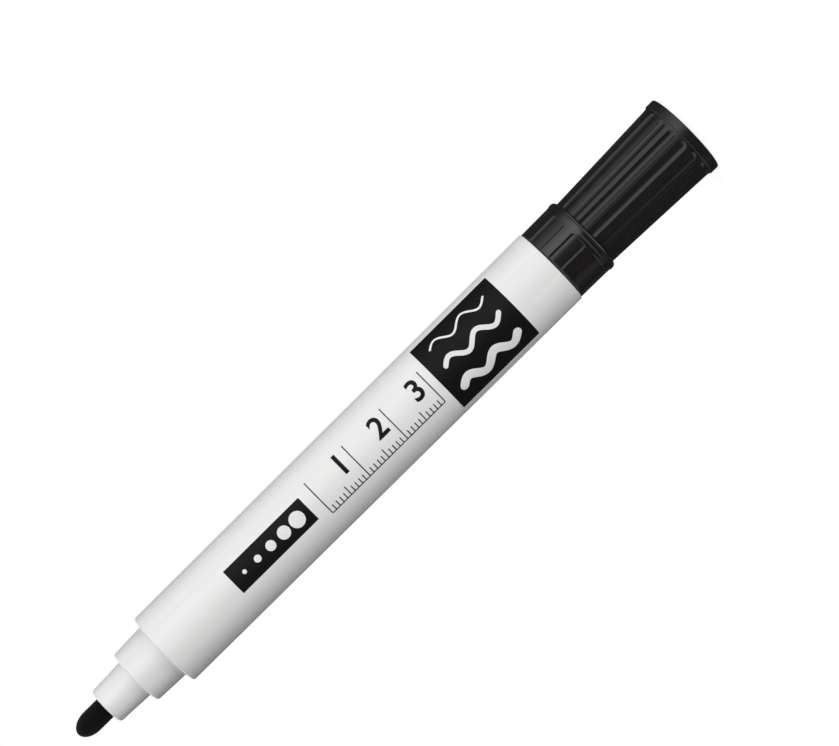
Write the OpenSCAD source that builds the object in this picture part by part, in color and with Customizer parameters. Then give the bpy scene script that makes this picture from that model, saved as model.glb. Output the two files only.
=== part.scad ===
// Whiteboard marker with a bullet nib, its cap posted on the tail.
// The marker stands on the cap's flat end, with +Z along its axis towards the nib.
// The origin is the centre of that flat end. All sizes are millimetres.

/* [Cap] */
// Length of the cap from its flat end to its mouth
cap_length = 27.3; // [25.9:0.1:30]
// Diameter of the flange round the cap's closed end
flange_d = 17.9; // [17.7:0.1:20]
// Thickness of the flange
flange_h = 1.95; // [1.6:0.05:2.6]
// Diameter of the fluted cone where it meets the flange
cap_root_d = 17.35; // [16.6:0.05:17.5]
// Diameter of the fluted cone at the mouth
cap_mouth_d = 15.4; // [15.2:0.1:16]
// Number of flutes round the cap
flute_count = 18; // [12:1:20]
// Radius of the ball-ended cutter that makes a flute
flute_r = 1.45; // [1.1:0.05:1.6]
// Depth of a flute at the mouth
flute_depth_mouth = 0.34; // [0.2:0.02:0.4]
// Depth of a flute next to the flange
flute_depth_root = 0.42; // [0.2:0.02:0.5]
// Angle that the cap is turned on the post
cap_turn = -8.2; // [-10:0.2:10]

/* [Tail plug] */
// Length of the plug that shows between the cap and the barrel
skirt_h = 9.2; // [8.6:0.1:12]
// Diameter of the rounded shoulder that the cap's mouth stops on
shoulder_d = 17; // [16.8:0.1:18]
// Radius that rounds the shoulder
shoulder_round = 0.9; // [0.6:0.1:1.2]
// Diameter of the skirt below the shoulder's bead
skirt_top_d = 16.72; // [16.5:0.02:16.8]
// Diameter of the skirt at the barrel's rim
skirt_rim_d = 16.54; // [16.4:0.02:16.7]
// Number of sunk grip panels round the skirt
panel_count = 9; // [6:1:10]
// Angle that a panel spans
panel_angle = 26; // [16:1:28]
// Depth of a panel
panel_depth = 0.3; // [0.15:0.05:0.4]
// Gap between the shoulder's bead and a panel's end
panel_gap = 0.5; // [0.5:0.05:1.5]
// Length of the sleeve pressed into the barrel
spigot_h = 12; // [8:0.5:13]
// Angle that the plug is turned in the barrel
plug_turn = -11; // [-20:1:20]

/* [Barrel] */
// Length from the rear rim to the front shoulder
barrel_length = 104.4; // [94.9:0.5:114.9]
// Outer diameter at the rear rim
barrel_rear_d = 17; // [16.9:0.1:18]
// Outer diameter at the front shoulder
barrel_front_d = 16.42; // [16:0.02:17]
// Diameter of the bore that takes the tail plug
barrel_bore_d = 14.1; // [13.9:0.05:14.2]
// Number of ribs that centre the ink reservoir
rib_count = 8; // [4:1:10]

/* [Nose] */
// Length of the first step, which the cap fits over
step_1_h = 7.6; // [7:0.1:8]
// Diameter of the first step at its foot
step_1_foot_d = 12.66; // [12.4:0.02:12.7]
// Diameter of the first step at its end
step_1_end_d = 12.16; // [11.9:0.02:12.2]
// Length of the second step, which the inner cap seals on
step_2_h = 8; // [7:0.1:8]
// Diameter of the second step at its foot
step_2_foot_d = 8.64; // [8.5:0.02:8.8]
// Diameter of the second step at its end
step_2_end_d = 8.02; // [7.9:0.02:8.2]

/* [Nib] */
// Diameter of the nib
nib_d = 4.7; // [4.1:0.1:5]
// Length of nib that stands out of the nose
nib_out = 7.5; // [6.2:0.1:8]
// Length of the rounded point
nib_point = 3.7; // [2.5:0.1:4.5]
// Whole length of the nib
nib_length = 38; // [32:0.5:44]

/* [Ink reservoir] */
// Diameter of the wrapped reservoir
reservoir_d = 12.8; // [12:0.1:13]
// Thickness of the film round the fibre
wrap_t = 0.15; // [0.1:0.05:0.25]

/* [Hidden] */
$fn = 96;

// Heights of the faces that the pieces share
z_mouth = cap_length;
z_rim = z_mouth + skirt_h;
z_front = z_rim + barrel_length;
z_step = z_front + step_1_h;
z_nose = z_step + step_2_h;
z_tip = z_nose + nib_out;
z_fin = z_rim + 3;

// How far a cutter runs past the face it cuts, and how far a rib sinks into its wall
over = 1;
rib_sink = 0.4;

// Cap
cap_wall_end = 2;
cap_edge = 0.25;
flange_top_edge = 0.1;
gate_dimple_r = 1.6;
gate_dimple_h = 0.3;
gate_stub_r = 0.6;
gate_stub_h = 0.15;
mouth_edge = 0.15;
mouth_play = 0.22;
mouth_bore_r = step_1_foot_d / 2 + mouth_play;
mouth_bore_h = 8.2;
mouth_lead_r = 0.2;
mouth_lead_h = 0.3;
seat_bore_r = 6.1;
grip_rib_count = 6;
grip_rib_w = 0.9;
grip_play = 0.03;
grip_rib_setback = 1;
flute_end_gap = 0.3;

// Inner cap
inner_top = z_mouth - mouth_bore_h;
inner_rim_h = 1.4;
inner_sleeve_r = 5.2;
inner_floor = 1;
inner_wall = 1.1;
inner_edge = 0.25;
inner_step = 1;
seal_mouth_r = 4.5;
seal_bead_r = 4.12;
seal_bead_z = 16;
seal_bead_half = 0.5;
seal_bore_r = 4.38;
seal_bore_z = 11;
seal_step_up = 0.3;
seal_step_down = 0.6;
nib_room_r = 3.3;
nib_room_corner = 0.8;

// Tail plug
post_wall = 1.2;
post_edge = 0.5;
post_bore_lead = 0.4;
post_bore_draft = 0.2;
shoulder_wall = 1.8;
bead_h = 0.35;
bead_blend = 0.5;
spigot_r = barrel_bore_d / 2;
spigot_bore_r = 5.85;
spigot_lead = 0.8;
spigot_lead_inset = 0.4;
seal_ring_h = 0.8;
spigot_relief = 0.08;
fin_count = 3;
fin_w = 1;
fin_reach = 1.9;
fin_inner_r = 3;
fin_root = 0.3;
fin_stop = 1;
fin_tip_inset = 0.4;
panel_corner = 0.5;
panel_wall_slope = 1.1;
panel_overcut = 0.5;

// Barrel
rim_edge = 0.15;
shoulder_edge = 0.5;
bore_front_r = 6.9;
bore_lead = 0.3;
front_wall = 2;
rib_w = 0.8;
rib_clear_h = 3;
standoff_h = 0.5;
standoff_inset = 0.3;
step_1_bore_r = 4.9;
step_1_edge = 0.55;
step_2_edge = 0.65;
step_2_wall = 1.7;
nib_air_gap = 0.4;
nib_bore_r = nib_d / 2 + nib_air_gap;
nib_rib_count = 4;
nib_rib_w = 1;

// Ink reservoir
reservoir_top = z_front - front_wall - standoff_h;
reservoir_bottom = z_rim + spigot_h + fin_reach;
nib_tail = 1.5;
nib_tail_inset = 0.9;

// Points along an arc about centre c, from angle a0 to a1
function arc(c, r, a0, a1, steps = 8) =
    [for (i = [0:steps]) let (a = a0 + (a1 - a0) * i / steps) [c[0] + r * cos(a), c[1] + r * sin(a)]];

// Radius of a cone at height z, from radius r0 at z0 to r1 at z1
function cone_r(z, z0, r0, z1, r1) = r0 + (r1 - r0) * (z - z0) / (z1 - z0);

// n ribs of width w between two radii and two heights, with their tips trimmed round
module ribs(n, w, r_tip, r_root, z0, z1, turn = 0) {
    difference() {
        for (i = [0:n - 1])
            rotate([0, 0, turn + 360 * i / n])
                translate([0, -w / 2, z0])
                    cube([r_root, w, z1 - z0]);
        translate([0, 0, z0 - over])
            cylinder(h = z1 - z0 + 2 * over, r = r_tip);
    }
}

// ---------------------------------------------------------------- barrel

module barrel_profile() {
    rear_r = barrel_rear_d / 2;
    front_r = barrel_front_d / 2;
    bore_r = barrel_bore_d / 2;
    s1_foot = step_1_foot_d / 2;
    s1_end = step_1_end_d / 2;
    s2_foot = step_2_foot_d / 2;
    s2_end = step_2_end_d / 2;
    z_plug = z_rim + spigot_h + rib_clear_h;
    z_inside = z_front - front_wall;
    polygon(concat(
        [[bore_r + bore_lead, z_rim]],
        arc([rear_r - rim_edge, z_rim + rim_edge], rim_edge, -90, 0, 4),
        arc([front_r - shoulder_edge, z_front - shoulder_edge], shoulder_edge, 0, 90),
        [[s1_foot, z_front]],
        arc([s1_end - step_1_edge, z_step - step_1_edge], step_1_edge, 0, 90),
        [[s2_foot, z_step]],
        arc([s2_end - step_2_edge, z_nose - step_2_edge], step_2_edge, 0, 90),
        [[nib_bore_r, z_nose],
         [nib_bore_r, z_step - step_2_wall],
         [step_1_bore_r, z_step - step_2_wall],
         [step_1_bore_r, z_inside],
         [bore_front_r, z_inside],
         [bore_r, z_plug],
         [bore_r, z_rim + bore_lead]]));
}

module barrel() {
    z_ribs = z_rim + spigot_h + rib_clear_h;
    z_inside = z_front - front_wall;
    rib_root_r = bore_front_r + rib_sink;
    color("whitesmoke") {
        rotate_extrude() barrel_profile();
        ribs(rib_count, rib_w, reservoir_d / 2, rib_root_r, z_ribs, z_inside + rib_sink);
        // Short ribs that hold the reservoir off the front wall
        ribs(rib_count, rib_w, step_1_bore_r + standoff_inset, rib_root_r,
             reservoir_top, z_inside + rib_sink);
        // Ribs that grip the nib and leave air channels beside it
        ribs(nib_rib_count, nib_rib_w, nib_d / 2, nib_bore_r + rib_sink, z_step - step_2_wall, z_nose);
    }
}

// ---------------------------------------------------------------- nib

module nib() {
    r = nib_d / 2;
    z_point = z_tip - nib_point;
    z_end = z_tip - nib_length;
    color("#151515")
        rotate_extrude()
            polygon(concat(
                [[0, z_end], [r - nib_tail_inset, z_end], [r, z_end + nib_tail]],
                [for (i = [0:16]) let (a = 90 * i / 16) [r * cos(a), z_point + nib_point * sin(a)]]));
}

// ---------------------------------------------------------------- ink reservoir

module reservoir_core() {
    z_end = z_tip - nib_length;
    r = nib_d / 2;
    color("#2a2a2e")
        difference() {
            translate([0, 0, reservoir_bottom])
                cylinder(h = reservoir_top - reservoir_bottom, r = reservoir_d / 2 - wrap_t);
            // The seat that the nib's tail presses into the fibre
            rotate_extrude()
                polygon([[0, z_end], [r - nib_tail_inset, z_end], [r, z_end + nib_tail],
                         [r, reservoir_top + over], [0, reservoir_top + over]]);
        }
}

module reservoir_wrap() {
    color("#d8dde0")
        translate([0, 0, reservoir_bottom])
            difference() {
                cylinder(h = reservoir_top - reservoir_bottom, r = reservoir_d / 2);
                translate([0, 0, -over])
                    cylinder(h = reservoir_top - reservoir_bottom + 2 * over, r = reservoir_d / 2 - wrap_t);
            }
}

// ---------------------------------------------------------------- tail plug

z_bead = z_mouth + shoulder_round + bead_h;
z_skirt = z_bead + bead_blend;

module plug_profile() {
    shoulder_r = shoulder_d / 2;
    post_foot = step_1_foot_d / 2;
    post_end = step_1_end_d / 2;
    post_bore_r = post_end - post_wall;
    z_post = z_mouth - step_1_h;
    z_spigot = z_rim + spigot_h;
    polygon(concat(
        [[0, z_post]],
        arc([post_end - post_edge, z_post + post_edge], post_edge, -90, 0),
        [[post_foot, z_mouth]],
        arc([shoulder_r - shoulder_round, z_mouth + shoulder_round], shoulder_round, -90, 0, 12),
        // The bead's foot eases into the skirt along a cosine
        [for (i = [0:6]) let (t = i / 6)
            [skirt_top_d / 2 + (shoulder_r - skirt_top_d / 2) * (1 + cos(180 * t)) / 2,
             z_bead + bead_blend * t]],
        [[skirt_rim_d / 2, z_rim],
         [spigot_r, z_rim],
         [spigot_r, z_rim + seal_ring_h],
         [spigot_r - spigot_relief, z_rim + 1.5 * seal_ring_h],
         [spigot_r - spigot_relief, z_spigot - spigot_lead - 1.5 * seal_ring_h],
         [spigot_r, z_spigot - spigot_lead - seal_ring_h],
         [spigot_r, z_spigot - spigot_lead],
         [spigot_r - spigot_lead_inset, z_spigot],
         [spigot_bore_r, z_spigot],
         [spigot_bore_r, z_mouth + shoulder_wall],
         [post_bore_r, z_mouth - post_bore_lead],
         [post_bore_r - post_bore_draft, z_post + post_wall],
         [0, z_post + post_wall]]));
}

// Outline of one panel, seen along a radius: its far end has rounded corners
module panel_outline(w) {
    h = z_rim - z_skirt - panel_gap;
    translate([-w / 2, panel_corner]) square([w, h]);
    translate([panel_corner - w / 2, 0]) square([w - 2 * panel_corner, h]);
    for (side = [-1, 1])
        translate([side * (w / 2 - panel_corner), panel_corner]) circle(r = panel_corner);
}

// Space that one panel sinks into the skirt, with leaning side walls and a floor that follows the skirt
module panel() {
    top_r = skirt_top_d / 2 + panel_overcut;
    floor_top_r = skirt_top_d / 2 - panel_depth;
    floor_rim_r = skirt_rim_d / 2 - panel_depth;
    w = 2 * (skirt_top_d / 2) * sin(panel_angle / 2);
    w_floor = w - 2 * panel_depth * panel_wall_slope;
    difference() {
        intersection() {
            translate([0, 0, z_skirt + panel_gap])
                rotate([90, 0, 90])
                    linear_extrude(height = top_r)
                        panel_outline(w + 2 * panel_overcut);
            linear_extrude(height = z_rim + over)
                polygon([[0, -w_floor / 2], [floor_rim_r * cos(panel_angle / 2), -w_floor / 2],
                         [top_r, -w / 2 - panel_overcut * panel_wall_slope],
                         [top_r, w / 2 + panel_overcut * panel_wall_slope],
                         [floor_rim_r * cos(panel_angle / 2), w_floor / 2], [0, w_floor / 2]]);
        }
        translate([0, 0, z_skirt])
            cylinder(h = z_rim - z_skirt + 2 * over, r1 = floor_top_r,
                     r2 = cone_r(z_rim + 2 * over, z_skirt, floor_top_r, z_rim, floor_rim_r));
    }
}

module tail_plug() {
    color("#1c1c1e") rotate([0, 0, plug_turn]) {
        difference() {
            rotate_extrude() plug_profile();
            for (i = [0:panel_count - 1])
                rotate([0, 0, 360 * i / panel_count])
                    intersection() {
                        panel();
                        translate([0, 0, z_skirt]) cylinder(h = z_rim - z_skirt, r = shoulder_d / 2 + over);
                    }
        }
        // Fins that press the reservoir forward
        ribs(fin_count, fin_w, fin_inner_r, spigot_bore_r + fin_root, z_fin, z_rim + spigot_h - fin_stop);
        ribs(fin_count, fin_w, fin_inner_r, spigot_bore_r - fin_tip_inset, z_fin, reservoir_bottom);
    }
}

// ---------------------------------------------------------------- cap

module cap_profile() {
    root_r = cap_root_d / 2;
    mouth_r = cap_mouth_d / 2;
    flange_r = flange_d / 2;
    polygon(concat(
        // The moulding gate's stub stands in a dimple, below the flat end
        [[0, gate_dimple_h - gate_stub_h],
         [gate_stub_r, gate_dimple_h - gate_stub_h],
         [gate_stub_r, gate_dimple_h],
         [gate_dimple_r - gate_dimple_h, gate_dimple_h],
         [gate_dimple_r, 0]],
        arc([flange_r - cap_edge, cap_edge], cap_edge, -90, 0, 6),
        arc([flange_r - flange_top_edge, flange_h - flange_top_edge], flange_top_edge, 0, 90, 4),
        [[root_r, flange_h]],
        arc([mouth_r - mouth_edge, z_mouth - mouth_edge], mouth_edge, 0, 90, 4),
        [[mouth_bore_r + mouth_lead_r, z_mouth],
         [mouth_bore_r, z_mouth - mouth_lead_h],
         [mouth_bore_r, z_mouth - mouth_bore_h],
         [seat_bore_r, z_mouth - mouth_bore_h],
         [seat_bore_r, cap_wall_end],
         [0, cap_wall_end]]));
}

// A long bullet that mills one flute: it runs down the cone and stops in a ball end near the flange
module flute_cutter() {
    root_r = cap_root_d / 2;
    mouth_r = cap_mouth_d / 2;
    z_ball = flange_h + flute_end_gap + sqrt(2 * flute_r * flute_depth_root);
    r_ball = cone_r(z_ball, flange_h, root_r, z_mouth, mouth_r) - flute_depth_root + flute_r;
    r_out = mouth_r - flute_depth_mouth + flute_r;
    lean = atan2(r_out - r_ball, z_mouth - z_ball);
    translate([r_ball, 0, z_ball])
        rotate([0, lean, 0])
            rotate_extrude() {
                intersection() {
                    circle(r = flute_r);
                    translate([0, -flute_r]) square([flute_r, flute_r]);
                }
                square([flute_r, cap_length + 2 * over]);
            }
}

module cap_shell() {
    color("#1b1b1d") rotate([0, 0, cap_turn]) {
        difference() {
            rotate_extrude() cap_profile();
            for (i = [0:flute_count - 1])
                rotate([0, 0, 360 * (i + 0.5) / flute_count])
                    flute_cutter();
        }
        grip_ribs();
    }
}

// Ribs in the mouth that centre the cap on the nose, or on the post when it is on the tail
module grip_ribs() {
    z0 = z_mouth - step_1_h;
    difference() {
        ribs(grip_rib_count, grip_rib_w, grip_rib_w, mouth_bore_r + rib_sink,
             inner_top, z_mouth - grip_rib_setback);
        translate([0, 0, z0])
            cylinder(h = step_1_h, r1 = step_1_end_d / 2 + grip_play, r2 = step_1_foot_d / 2 + grip_play);
        translate([0, 0, z0 - 2 * over])
            cylinder(h = 3 * over, r = step_1_end_d / 2 + grip_play);
    }
}

// ---------------------------------------------------------------- inner cap

module inner_cap() {
    z_floor = cap_wall_end + inner_floor;
    color("#e9e9e4")
        rotate_extrude()
            polygon([
                [0, cap_wall_end],
                [nib_room_r + inner_wall - inner_edge, cap_wall_end],
                [nib_room_r + inner_wall, cap_wall_end + inner_edge],
                [nib_room_r + inner_wall, seal_bore_z - inner_step],
                [inner_sleeve_r, seal_bore_z],
                [inner_sleeve_r, inner_top - inner_rim_h],
                [seat_bore_r, inner_top - inner_rim_h],
                [seat_bore_r, inner_top],
                [seal_mouth_r + mouth_lead_r, inner_top],
                [seal_mouth_r, inner_top - mouth_lead_h],
                [seal_bead_r, seal_bead_z + seal_bead_half],
                [seal_bead_r, seal_bead_z - seal_bead_half],
                [seal_bore_r, seal_bead_z - 2 * seal_bead_half],
                [seal_bore_r, seal_bore_z + seal_step_up],
                [nib_room_r, seal_bore_z - seal_step_down],
                [nib_room_r, z_floor + nib_room_corner],
                [nib_room_r - nib_room_corner, z_floor],
                [0, z_floor]]);
}

barrel();
nib();
reservoir_core();
reservoir_wrap();
tail_plug();
cap_shell();
inner_cap();
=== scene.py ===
"""Looks of a whiteboard marker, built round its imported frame.

The file is laid out as an add-on. Run as a script, it builds every piece and a small studio.
"""

import math

import bmesh
import bpy
from bpy.props import FloatProperty, FloatVectorProperty, IntProperty, PointerProperty
from mathutils import Matrix, Vector, noise


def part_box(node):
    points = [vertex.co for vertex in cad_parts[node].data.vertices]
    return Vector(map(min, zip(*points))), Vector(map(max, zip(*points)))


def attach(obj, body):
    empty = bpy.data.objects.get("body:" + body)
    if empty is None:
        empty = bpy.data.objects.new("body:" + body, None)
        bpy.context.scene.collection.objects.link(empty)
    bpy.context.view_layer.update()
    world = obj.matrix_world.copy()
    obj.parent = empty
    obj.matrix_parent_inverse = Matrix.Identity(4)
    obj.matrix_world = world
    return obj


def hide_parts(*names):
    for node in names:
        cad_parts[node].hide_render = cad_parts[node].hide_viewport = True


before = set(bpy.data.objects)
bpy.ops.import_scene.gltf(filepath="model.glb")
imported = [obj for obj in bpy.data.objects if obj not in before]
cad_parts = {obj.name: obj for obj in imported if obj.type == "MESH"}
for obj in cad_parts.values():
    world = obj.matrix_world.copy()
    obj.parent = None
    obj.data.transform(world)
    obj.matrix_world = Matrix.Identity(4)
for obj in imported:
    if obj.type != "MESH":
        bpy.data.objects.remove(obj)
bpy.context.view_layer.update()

bl_info = {
    "name": "Whiteboard Marker",
    "version": (1, 0, 0),
    "blender": (4, 5, 0),
    "location": "3D View > Sidebar > Marker",
    "description": "Builds a whiteboard marker with its cap posted on the tail, and a studio for it",
    "category": "Object",
}

MM = 0.001
TURN = 2 * math.pi
WELD = 0.0005 * MM
# A moulded part's flats keep a straight margin this wide beside each rounded edge
EDGE_MARGIN = 0.04 * MM
LONG_FLAT = 5 * EDGE_MARGIN

LAMP_DISTANCE = 1.0
LAMP_CENTRE = 0.1
# The key light is a row of upright strips that starts this many degrees left of the camera
KEY_EDGE = 10
KEY_STRIP = 15
KEY_HEIGHT = 1.4
# How bright each strip is, from the one nearest the camera
KEY_LEVELS = (0.92, 1.0, 0.68, 0.45, 0.22, 0.05)
FILL_TURN = 92
FILL_SIZE = (0.52, 1.2)
FLOOR_RADIUS = 0.3
FLOOR_WHITE = 0.8
DRAPE_RADIUS = 1.15
DRAPE_LOW = -1.3
DRAPE_HIGH = 0.7


def span(node):
    """The lowest height, the highest height and the radius of a CAD node."""
    low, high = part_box(node)
    return low.z, high.z, high.x


_, Z_MOUTH, FLANGE_R = span("cap_shell")
Z_POST, Z_SLEEVE_END, SHOULDER_R = span("tail_plug")
Z_RIM, Z_NOSE, REAR_R = span("barrel")
Z_NIB_TAIL, Z_TIP, NIB_R = span("nib")
Z_LINER, Z_LINER_TOP, LINER_SEAT_R = span("inner_cap")


# ---------------------------------------------------------------- settings

def linear(hex_colour):
    """An sRGB hex colour as linear red, green and blue."""
    channels = [int(hex_colour[i:i + 2], 16) / 255 for i in (1, 3, 5)]
    return [c / 12.92 if c <= 0.04045 else ((c + 0.055) / 1.055) ** 2.4 for c in channels]


def length(name, text, mm):
    """A length, given in millimetres and kept in metres."""
    return FloatProperty(name=name, description=text, default=mm * MM, min=0.0, precision=5, unit="LENGTH")


def count(name, text, number):
    return IntProperty(name=name, description=text, default=number, min=1)


def angle(name, text, degrees):
    return FloatProperty(name=name, description=text, default=math.radians(degrees), subtype="ANGLE")


def tint(name, text, hex_colour):
    return FloatVectorProperty(
        name=name, description=text, default=linear(hex_colour), min=0.0, max=1.0, subtype="COLOR")


def share(name, text, value):
    return FloatProperty(name=name, description=text, default=value, min=0.0, max=1.0, subtype="FACTOR")


def amount(name, text, value):
    return FloatProperty(name=name, description=text, default=value, min=0.0)


class BarrelSizes(bpy.types.PropertyGroup):
    front_r: length("Front radius", "Outer radius at the front shoulder", 8.21)
    rim_edge: length("Rim edge", "Radius that rounds the rear rim", 0.15)
    shoulder_edge: length("Shoulder edge", "Radius that rounds the front shoulder", 0.5)
    step_1_h: length("First step", "Length of the nose's first step", 7.6)
    step_1_foot_r: length("First step foot", "Radius of the first step at its foot", 6.33)
    step_1_end_r: length("First step end", "Radius of the first step at its end", 6.08)
    step_1_edge: length("First step edge", "Radius that rounds the first step's end", 0.55)
    step_2_h: length("Second step", "Length of the nose's second step", 8.0)
    step_2_foot_r: length("Second step foot", "Radius of the second step at its foot", 4.32)
    step_2_end_r: length("Second step end", "Radius of the second step at its end", 4.01)
    step_2_edge: length("Second step edge", "Radius that rounds the second step's end", 0.65)
    foot_fillet: length("Step fillet", "Radius of the hollow where a step meets its shoulder", 0.12)
    bore_r: length("Bore", "Radius of the bore behind the ribs", 7.05)
    bore_front_r: length("Front bore", "Radius of the bore at the front wall", 6.9)
    bore_lead: length("Bore lead", "Chamfer at the mouth of the bore", 0.3)
    front_wall: length("Front wall", "Thickness of the wall behind the front shoulder", 2.0)
    nose_bore_r: length("Nose bore", "Radius of the bore in the first step", 4.9)
    nose_wall: length("Nose wall", "Thickness of the wall at the second step's foot", 1.7)
    nib_gap: length("Nib gap", "Air gap round the nib in the second step", 0.4)
    rib_count: count("Ribs", "Number of ribs that centre the ink reservoir", 8)
    rib_w: length("Rib width", "Width of a rib", 0.8)
    rib_tip_r: length("Rib tip", "Radius that the ribs leave for the reservoir", 6.4)
    rib_start: length("Rib start", "Gap between the plug's sleeve and the ribs", 3.0)
    nib_rib_count: count("Nib ribs", "Number of ribs that grip the nib", 4)
    nib_rib_w: length("Nib rib width", "Width of a rib that grips the nib", 1.0)
    flank: length("Rib flank", "Width over which a rib's side rises", 0.15)
    nib_flank: length("Nib rib flank", "Width over which a nib rib's side rises", 0.1)


class PlugSizes(bpy.types.PropertyGroup):
    turn: angle("Turn", "Angle that the plug is turned in the barrel", -11)
    post_foot_r: length("Post foot", "Radius of the post at the shoulder", 6.33)
    post_end_r: length("Post end", "Radius of the post at its end", 6.08)
    post_edge: length("Post edge", "Radius that rounds the post's end", 0.5)
    post_wall: length("Post wall", "Thickness of the post's wall", 1.2)
    post_lead: length("Post lead", "Distance from the mouth's height to the post's straight bore", 0.4)
    post_draft: length("Post draft", "How far the post's bore narrows to its end", 0.2)
    shoulder_wall: length("Shoulder wall", "Thickness of the wall above the shoulder", 1.8)
    shoulder_round: length("Shoulder rounding", "Radius that rounds the shoulder", 0.9)
    bead_h: length("Bead", "Length of the shoulder at its full radius", 0.35)
    bead_blend: length("Bead blend", "Length over which the bead falls to the skirt", 0.5)
    skirt_top_r: length("Skirt top", "Radius of the skirt below the bead", 8.36)
    skirt_rim_r: length("Skirt rim", "Radius of the skirt at the barrel's rim", 8.27)
    panel_count: count("Panels", "Number of sunk grip panels", 9)
    panel_angle: angle("Panel angle", "Angle that a panel spans", 26)
    panel_depth: length("Panel depth", "Depth of a panel", 0.3)
    panel_wall: length("Panel wall", "Width of the leaning wall round a panel", 0.36)
    panel_gap: length("Panel gap", "Gap between the bead and a panel's end", 0.5)
    panel_corner: length("Panel corner", "Radius of a panel's corners", 0.6)
    sleeve_r: length("Sleeve", "Radius of the sleeve pressed into the barrel", 7.05)
    sleeve_bore_r: length("Sleeve bore", "Radius of the sleeve's bore", 5.85)
    sleeve_lead: length("Sleeve lead", "Length of the chamfer that leads the sleeve in", 0.8)
    lead_drop: length("Lead drop", "How far that chamfer narrows the sleeve", 0.4)
    seal_h: length("Seal ring", "Length of each of the sleeve's two sealing bands", 0.8)
    relief: length("Relief", "How far the sleeve drops between its sealing bands", 0.08)
    fin_count: count("Fins", "Number of fins that press the reservoir forward", 3)
    fin_w: length("Fin width", "Width of a fin", 1.0)
    fin_start: length("Fin start", "Distance from the barrel's rim to the fins", 3.0)
    fin_reach: length("Fin reach", "How far the fins stand out of the sleeve", 1.9)
    fin_inner_r: length("Fin tip", "Radius that the fins reach in to", 3.0)
    fin_inset: length("Fin inset", "How far the fins stand in from the bore above the sleeve", 0.4)
    fin_flank: length("Fin flank", "Width over which a fin's side rises", 0.06)


class CapSizes(bpy.types.PropertyGroup):
    turn: angle("Turn", "Angle that the cap is turned on the post", -8.2)
    flange_h: length("Flange", "Thickness of the flange", 1.95)
    flange_edge: length("Flange edge", "Radius that rounds the flange's closed end", 0.25)
    flange_lip: length("Flange lip", "Radius that rounds the flange's other edge", 0.1)
    root_r: length("Root", "Radius of the fluted cone at the flange", 8.675)
    root_fillet: length("Root fillet", "Radius of the hollow between the flange and the cone", 0.12)
    mouth_r: length("Mouth", "Radius of the fluted cone at the mouth", 7.7)
    mouth_edge: length("Mouth edge", "Radius that rounds the mouth", 0.15)
    flute_count: count("Flutes", "Number of flutes", 18)
    flute_r: length("Flute radius", "Radius of the ball-ended cutter that shapes a flute", 1.45)
    depth_mouth: length("Depth at the mouth", "Depth of a flute at the mouth", 0.34)
    depth_root: length("Depth at the flange", "Depth of a flute next to the flange", 0.42)
    flute_gap: length("Flute gap", "Land left between a flute's end and the flange", 0.3)
    flute_edge: length("Flute edge", "Width of the rounding along a flute's edges", 0.09)
    bore_r: length("Mouth bore", "Radius of the bore in the mouth", 6.55)
    bore_h: length("Mouth bore depth", "Depth of the bore in the mouth", 8.2)
    seat_r: length("Seat", "Radius of the bore that holds the inner cap", 6.1)
    end_wall: length("End wall", "Thickness of the closed end", 2.0)
    rib_count: count("Grip ribs", "Number of ribs that grip the nose or the post", 6)
    rib_w: length("Grip rib width", "Width of a grip rib", 0.9)
    rib_play: length("Grip play", "Running clearance between a grip rib and the post", 0.03)
    rib_flank: length("Grip rib flank", "Width over which a grip rib's side rises", 0.12)
    rib_setback: length("Grip setback", "Distance from the mouth to the grip ribs", 1.0)
    rib_lead: length("Grip lead", "Length over which the grip ribs rise", 0.1)
    lead_r: length("Mouth lead", "How far the chamfer widens the mouth", 0.2)
    lead_h: length("Mouth lead depth", "Length of the mouth's chamfer", 0.3)
    dimple_r: length("Gate dimple", "Radius of the dimple round the moulding gate", 1.6)
    dimple_h: length("Dimple depth", "Depth of that dimple", 0.3)
    gate_r: length("Gate stub", "Radius of the moulding gate's stub", 0.6)
    gate_h: length("Gate stub height", "Height of the stub in its dimple", 0.15)


class LinerSizes(bpy.types.PropertyGroup):
    floor: length("Floor", "Thickness of the closed end", 1.0)
    rim_h: length("Rim", "Thickness of the rim that sits in the cap", 1.4)
    sleeve_r: length("Sleeve", "Outer radius of the sleeve that seals on the nose", 5.2)
    mouth_r: length("Mouth", "Radius of the mouth", 4.5)
    bead_r: length("Seal", "Radius that the sealing bead leaves", 4.12)
    bead_z: length("Seal height", "Height of the sealing bead above the cap's flat end", 16.0)
    bore_r: length("Bore", "Radius of the bore that takes the nose's second step", 4.38)
    bore_z: length("Bore height", "Height of that bore's lower end", 11.0)
    nib_room_r: length("Nib room", "Radius of the room round the nib", 3.3)
    wall: length("Wall", "Thickness of the wall round the nib", 1.1)
    foot_r: length("Foot", "How far the chamfer narrows the closed end", 0.2)
    foot_h: length("Foot height", "Length of the closed end's chamfer", 0.3)
    step_h: length("Step", "Length over which the wall widens to the sleeve", 1.0)
    lead_r: length("Lead", "How far the chamfer widens the mouth", 0.2)
    lead_h: length("Lead depth", "Length of the mouth's chamfer", 0.3)
    bead_half: length("Seal half", "Half the length of the sealing bead", 0.5)
    seat_up: length("Seat up", "Distance from the bore's lower end up to its full width", 0.3)
    seat_down: length("Seat down", "Distance from the bore's lower end down to the nib room", 0.6)
    room_edge: length("Room edge", "Chamfer at the nib room's floor", 0.8)


class NibSizes(bpy.types.PropertyGroup):
    point: length("Point", "Length of the rounded point", 3.7)
    tail: length("Tail", "Length of the chamfer at the hidden end", 1.5)
    tail_drop: length("Tail drop", "How far that chamfer narrows the tail", 0.9)
    rough_h: length("Rough length", "Length from the tip that shows the fibres", 12.0)
    fuzz: length("Fibre relief", "Depth of the ridges that the fibres make", 0.012)
    fibre: length("Fibre bundle", "Width of a bundle of fibres that shows", 0.28)


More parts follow.
